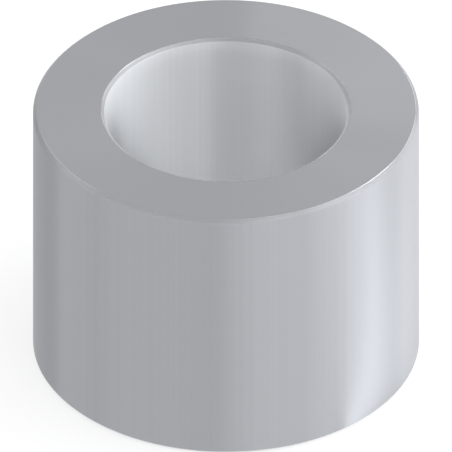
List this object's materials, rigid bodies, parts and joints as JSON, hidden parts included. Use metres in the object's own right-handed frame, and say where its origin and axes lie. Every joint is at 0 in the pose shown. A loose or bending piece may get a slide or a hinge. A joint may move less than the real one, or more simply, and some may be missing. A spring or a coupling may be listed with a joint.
{
  "type": "sleeve bushing",
  "caption": "Plain cylindrical steel sleeve bushing with a straight through bore, flat end faces and chamfered rims; lines a housing bore and guides a shaft or bolt.",
  "frame": {"origin": "centre of the lower end face, on the bore axis", "axes": "+Z along the bore axis, up from the lower end face to the upper one; X and Y are alike because the part is round"},
  "size_m": [0.027, 0.027, 0.02],
  "materials": {
    "steel": "fine-turned satin steel, bare and clean"
  },
  "bodies": {
    "root": {"bushing": "steel"}
  },
  "joints": []
}
